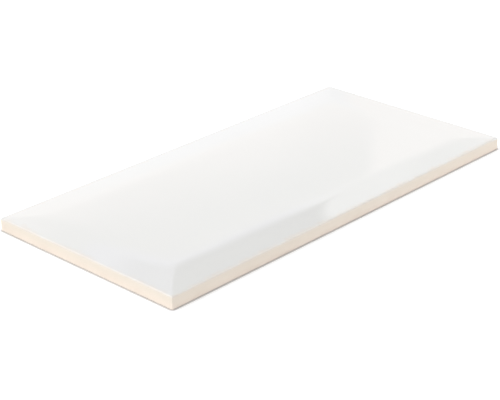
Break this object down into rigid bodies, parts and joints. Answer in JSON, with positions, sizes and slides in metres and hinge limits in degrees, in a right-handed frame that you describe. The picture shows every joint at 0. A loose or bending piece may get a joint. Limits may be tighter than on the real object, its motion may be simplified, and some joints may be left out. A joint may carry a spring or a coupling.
{
  "type": "subway wall tile",
  "caption": "Rectangular ceramic wall tile with a white gloss glazed face that is cushioned towards its edges, bare biscuit sides and a waffle-keyed back for adhesive.",
  "frame": {"origin": "middle of the tile on its back plane, the plane of the rim and ribs that it lies on", "axes": "+X along the long side, +Y along the short side, +Z out of the glazed face"},
  "size_m": [0.198, 0.098, 0.006],
  "materials": {
    "white_glaze": "gloss"
  },
  "bodies": {
    "root": {"tile": "white_glaze"}
  },
  "joints": []
}
